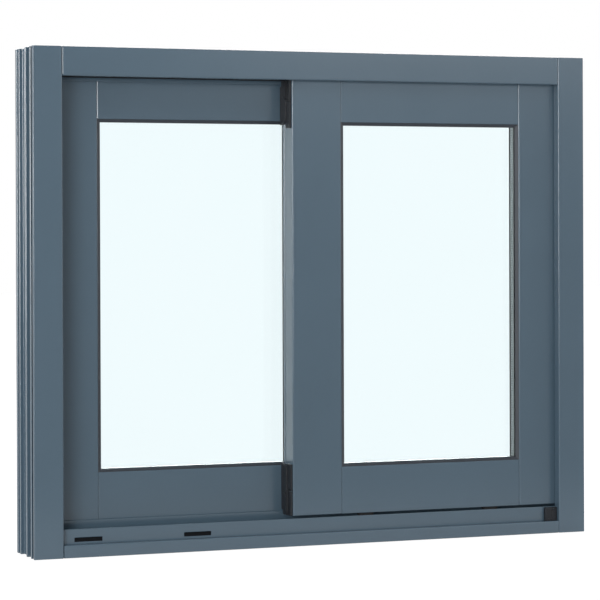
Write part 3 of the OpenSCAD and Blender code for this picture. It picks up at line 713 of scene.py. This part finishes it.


# Thin leaves of black moulding: the flaps behind the weep slots, hung from above, in a
# near-black finish that paints the shade inside the slots, and the skirt of the pile strip that
# shows under the head's face, a fin that also paints the shade line there
leaves = {
    "flap": {"starts": (55.0, 199.0), "length": 36.3, "over": 2.0, "y": (13.0, 13.45),
             "z": (17.9, 26.0), "hinge": 1.6, "hingeProud": 0.5, "hingeRise": 0.4},
    "skirt": {"x": (42.0, 720.0), "y": (43.15, 43.8), "z": (598.7, 601.6), "bead": 0.9,
              "beadProud": 0.3},
    "edge": 0.15,
    "edgeSteps": 2,
}


def buildLeaf(name, blocks, finish="black"):
    # blocks: lowest and highest corner of each, in the drawing's millimetres
    shape = bmesh.new()
    for low, high in blocks:
        corner, far = spot(*low), spot(*high)
        size = far - corner
        addSlab(shape, corner, Vector((size.x, 0, 0)), Vector((0, size.y, 0)),
                Vector((0, 0, size.z)))
    mesh = bpy.data.meshes.new(name)
    shape.to_mesh(mesh)
    shape.free()
    mesh.materials.append(finishes[finish])
    piece = bpy.data.objects.new(name, mesh)
    scene.collection.objects.link(piece)
    soften = piece.modifiers.new("roundEdges", "BEVEL")
    soften.width = leaves["edge"] * mm
    soften.segments = leaves["edgeSteps"]
    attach(piece, "root")


# the flaps are a real kind of part, but their near-black finish paints the shade inside the weep
# slots
flap = leaves["flap"]
(near, far), (foot, top) = flap["y"], flap["z"]
for number, start in enumerate(flap["starts"], 1):
    left, right = start - flap["over"], start + flap["length"] + flap["over"]
    buildLeaf("paintedShadeWeepFlap%d" % number,
              [((left, near, foot), (right, far, top)),
               ((left, near, top - flap["hinge"]),
                (right, far + flap["hingeProud"], top + flap["hingeRise"]))],
              "hole")
# the skirt: partly a real fin of the pile strip, partly a dark leaf hung to paint the shade line
# under the head's face
skirt = leaves["skirt"]
(left, right), (near, far), (foot, top) = skirt["x"], skirt["y"], skirt["z"]
buildLeaf("headPileSkirtPaintedShade",
          [((left, near, foot), (right, far, top)),
           ((left, near - skirt["beadProud"], top - skirt["bead"]), (right, far, top))])
print("flaps and skirt hung")


# Perforation of the spacer bars: two rows of small holes on the faces in the opening, drawn as
# near-black discs that paint the shade inside the holes
perforation = {"height": 7.6, "rows": (-1.9, 1.9), "spacing": 3.2, "radius": 0.55,
               "narrowing": 0.9, "proud": 0.04, "inset": 4.0, "sides": 8}


def perforateSpacer(name, node):
    low, high = (Vector(corner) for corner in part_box(node))
    rim = perforation["height"] * mm
    low.x, low.z, high.x, high.z = low.x + rim, low.z + rim, high.x - rim, high.z - rim
    middle = (low.y + high.y) / 2.0
    inset = perforation["inset"] * mm
    sides = (((low.x, low.z + inset), (low.x, high.z - inset), (1, 0, 0)),
             ((high.x, low.z + inset), (high.x, high.z - inset), (-1, 0, 0)),
             ((low.x + inset, low.z), (high.x - inset, low.z), (0, 0, 1)),
             ((low.x + inset, high.z), (high.x - inset, high.z), (0, 0, -1)))
    points, edges, facings = [], [], []
    for row in perforation["rows"]:
        y = middle + row * mm
        for start, end, facing in sides:
            points += [Vector((start[0], y, start[1])), Vector((end[0], y, end[1]))]
            edges.append((len(points) - 2, len(points) - 1))
            facings += [Vector(facing), Vector(facing)]
    radius = perforation["radius"] * mm
    piece = growNodes(name, studTree, points, edges, facings, **{
        "Spacing": perforation["spacing"] * mm, "Radius": radius,
        "Tip Radius": radius * perforation["narrowing"], "Height": perforation["proud"] * mm,
        "Sides": perforation["sides"], "Jitter": 0.0, "Lean": 0.0, "Seed": 1,
        "Finish": finishes["hole"]})
    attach(piece, "root")


perforateSpacer("frontPerforation", "front_spacer")
perforateSpacer("rearPerforation", "rear_spacer")
print("spacers perforated")


# Screws: through the webs of the jambs, in the indoor sash's meeting stile, and small
# ones in the end blocks
def placeScrews(name, spots, facing, finish, scale=1.0):
    piece = growNodes(name, screwTree, spots, [], [Vector(facing)] * len(spots), **{
        "Radius": screwLook["radius"] * scale * mm, "Height": screwLook["height"] * scale * mm,
        "Recess": screwLook["recess"] * scale * mm, "Seed": len(name),
        "Finish": finishes[finish]})
    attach(piece, "root")


def column(place):
    return [spot(place["x"], place["y"], height) for height in place["heights"]]


cornerIn = screwLook["cornerIn"]
placeScrews("leftCornerScrews", [spot(cornerIn, y, z) for y, z in screwLook["corners"]],
            (-1, 0, 0), "zinc")
placeScrews("rightCornerScrews",
            [spot(frameSize["width"] - cornerIn, y, z) for y, z in screwLook["corners"]],
            (1, 0, 0), "zinc")
placeScrews("rearStileScrews", column(screwLook["stile"]), (1, 0, 0), "zinc")
placeScrews("blockScrews", column(screwLook["blocks"]), (-1, 0, 0), "black",
            screwLook["small"])
print("screws set")


# Floor and light
stageLook = {
    "floor": 12.0,          # half width of the floor
    "ambient": (0.96, 0.98, 1.0, 1.0),
    "backLight": 0.40,      # soft light from the white backdrop's side
    "frontLight": 0.0,      # soft light from the camera's side
    "frontGlow": 0.50,      # what a gloss finds in front of the window, where the backdrop is 1
    "turnOver": (-0.75, -0.25),     # where the one side turns over to the other
    "matt": {"Base Color": (0.72, 0.73, 0.74, 1.0), "Roughness": 0.9},
    "shown": {"Base Color": (0.10, 0.10, 0.10, 1.0), "Roughness": 1.0,
              "Emission Color": (1.0, 1.0, 1.0, 1.0), "Emission Strength": 0.93},
    "lamps": [
        {"name": "leftPanel", "place": (-3.0, -4.2, 0.8), "size": (1.6, 1.2), "power": 104.0},
        {"name": "leftSidePanel", "place": (-2.4, -1.4, 0.5), "size": (1.2, 0.7), "power": 4.0},
        {"name": "leftHighPanel", "place": (-1.5, -1.5, 2.2), "size": (1.4, 1.0), "power": 20.0},
        {"name": "rightPanel", "place": (1.8, -2.6, 1.3), "size": (2.0, 0.8), "power": 13.0},
        {"name": "rightSidePanel", "place": (2.9, -0.7, 0.9), "size": (1.2, 1.4), "power": 9.0},
        {"name": "backPanel", "place": (0.9, 2.8, 1.7), "size": (2.0, 2.0), "power": 90.0},
    ],
    "target": (0.0, 0.0, 0.32),
}


def sideLevel(tree, front, back):
    # a level that turns over from the camera's side to the backdrop's side
    where = putNode(tree, "ShaderNodeTexCoord")
    apart = putNode(tree, "ShaderNodeSeparateXYZ")
    tree.links.new(where.outputs["Object"], apart.inputs[0])
    side = putNode(tree, "ShaderNodeMapRange", interpolation_type="SMOOTHSTEP")
    tree.links.new(apart.outputs["Y"], side.inputs["Value"])
    setInputs(side, **{"From Min": stageLook["turnOver"][0], "From Max": stageLook["turnOver"][1],
                       "To Min": front, "To Max": back})
    return side.outputs["Result"]


def mixByRay(tree, plain, shown, surface):
    # the camera, and what glass lets through, find the white stage; a gloss finds the
    # same even light on floor and world, at full strength on the backdrop's side and
    # through glass
    rays = putNode(tree, "ShaderNodeLightPath")
    seen = putNode(tree, "ShaderNodeMath", operation="MAXIMUM")
    tree.links.new(rays.outputs["Is Camera Ray"], seen.inputs[0])
    tree.links.new(rays.outputs["Is Transmission Ray"], seen.inputs[1])
    first = putNode(tree, "ShaderNodeMixShader")
    tree.links.new(seen.outputs[0], first.inputs["Fac"])
    tree.links.new(plain.outputs[0], first.inputs[1])
    tree.links.new(shown.outputs[0], first.inputs[2])
    glow = putNode(tree, "ShaderNodeBackground" if tree == scene.world.node_tree
                   else "ShaderNodeEmission")
    glow.inputs["Color"].default_value = stageLook["ambient"]
    bright = putNode(tree, "ShaderNodeMath", operation="MAXIMUM")
    tree.links.new(sideLevel(tree, stageLook["frontGlow"], 1.0), bright.inputs[0])
    tree.links.new(rays.outputs["Is Transmission Ray"], bright.inputs[1])
    tree.links.new(bright.outputs[0], glow.inputs["Strength"])
    last = putNode(tree, "ShaderNodeMixShader")
    tree.links.new(rays.outputs["Is Glossy Ray"], last.inputs["Fac"])
    tree.links.new(first.outputs[0], last.inputs[1])
    tree.links.new(glow.outputs[0], last.inputs[2])
    tree.links.new(last.outputs[0], surface)


def buildWorld():
    world = bpy.data.worlds.new("studioWorld")
    scene.world = world
    world.use_nodes = True
    tree = world.node_tree
    tree.nodes.clear()
    out = putNode(tree, "ShaderNodeOutputWorld")
    soft = putNode(tree, "ShaderNodeBackground")
    setInputs(soft, Color=stageLook["ambient"])
    tree.links.new(sideLevel(tree, stageLook["frontLight"], stageLook["backLight"]),
                   soft.inputs["Strength"])
    white = putNode(tree, "ShaderNodeBackground")
    setInputs(white, Color=(1.0, 1.0, 1.0, 1.0), Strength=1.0)
    mixByRay(tree, soft, white, out.inputs["Surface"])


def buildFloor():
    half = stageLook["floor"]
    mesh = bpy.data.meshes.new("studioFloor")
    mesh.from_pydata([(-half, -half, 0.0), (half, -half, 0.0), (half, half, 0.0),
                      (-half, half, 0.0)], [], [(0, 1, 2, 3)])
    floor = bpy.data.objects.new("studioFloor", mesh)
    scene.collection.objects.link(floor)
    material = bpy.data.materials.new("paleFloor")
    material.use_nodes = True
    tree = material.node_tree
    tree.nodes.clear()
    out = putNode(tree, "ShaderNodeOutputMaterial")
    matt = putNode(tree, "ShaderNodeBsdfPrincipled")
    setInputs(matt, **stageLook["matt"])
    shown = putNode(tree, "ShaderNodeBsdfPrincipled")
    setInputs(shown, **stageLook["shown"])
    mixByRay(tree, matt, shown, out.inputs["Surface"])
    mesh.materials.append(material)


def addLamp(spec):
    data = bpy.data.lights.new(spec["name"], "AREA")
    data.shape = "RECTANGLE"
    data.size, data.size_y = spec["size"]
    data.energy = spec["power"]
    lamp = bpy.data.objects.new(spec["name"], data)
    lamp.location = spec["place"]
    away = Vector(spec["place"]) - Vector(stageLook["target"])
    lamp.rotation_euler = away.to_track_quat("Z", "Y").to_euler()
    scene.collection.objects.link(lamp)


buildWorld()
buildFloor()
for lampSpec in stageLook["lamps"]:
    addLamp(lampSpec)
scene.view_settings.view_transform = "Standard"
print("floor and light set")
